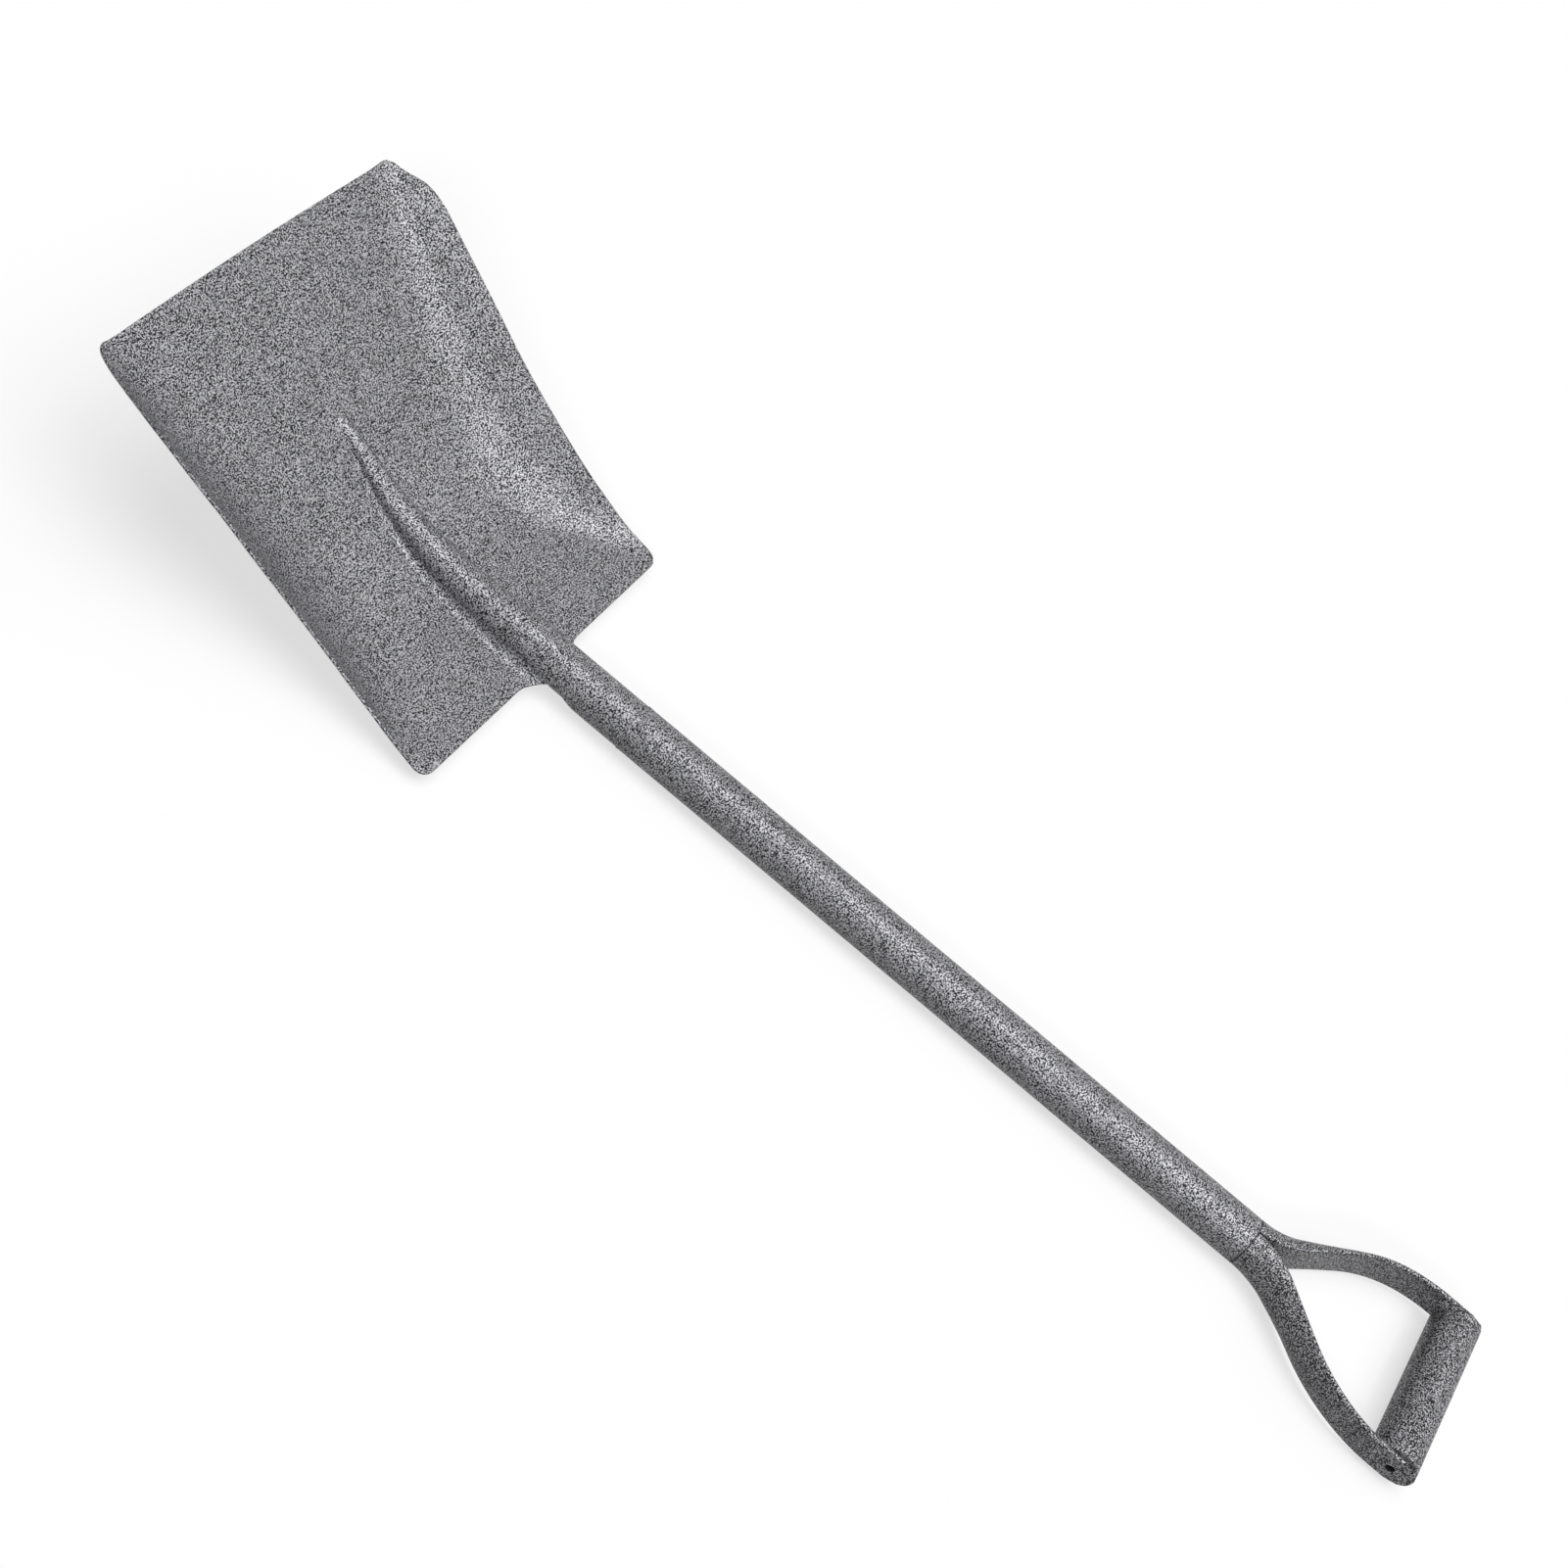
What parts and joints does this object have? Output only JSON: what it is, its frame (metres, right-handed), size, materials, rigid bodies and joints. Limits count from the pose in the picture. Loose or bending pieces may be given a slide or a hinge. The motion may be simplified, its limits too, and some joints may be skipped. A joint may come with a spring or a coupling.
{
  "type": "square mouth shovel",
  "caption": "All-steel square mouth shovel with a pressed pan, a welded tube shaft and a forked D-shaped grip.",
  "frame": {"origin": "on the shaft's axis, at the middle of the bare shaft between the socket and the fork", "axes": "+Y along the shaft towards the mouth of the blade, +Z towards the side that carries the load, +X across the blade"},
  "size_m": [0.2668, 0.9695, 0.1313],
  "materials": {
    "hammertone_steel": "hammered",
    "bare_steel": "satin"
  },
  "bodies": {
    "root": {"blade": "hammertone_steel", "shaft_tube": "hammertone_steel", "socket_weld": "hammertone_steel", "socket_seam_weld": "hammertone_steel", "fork_weld": "hammertone_steel", "grip_tube": "hammertone_steel", "right_fork_arm": "hammertone_steel", "left_fork_arm": "hammertone_steel", "right_grip_cap": "hammertone_steel", "left_grip_cap": "hammertone_steel", "right_grip_weld": "hammertone_steel", "left_grip_weld": "hammertone_steel"}
  },
  "joints": []
}
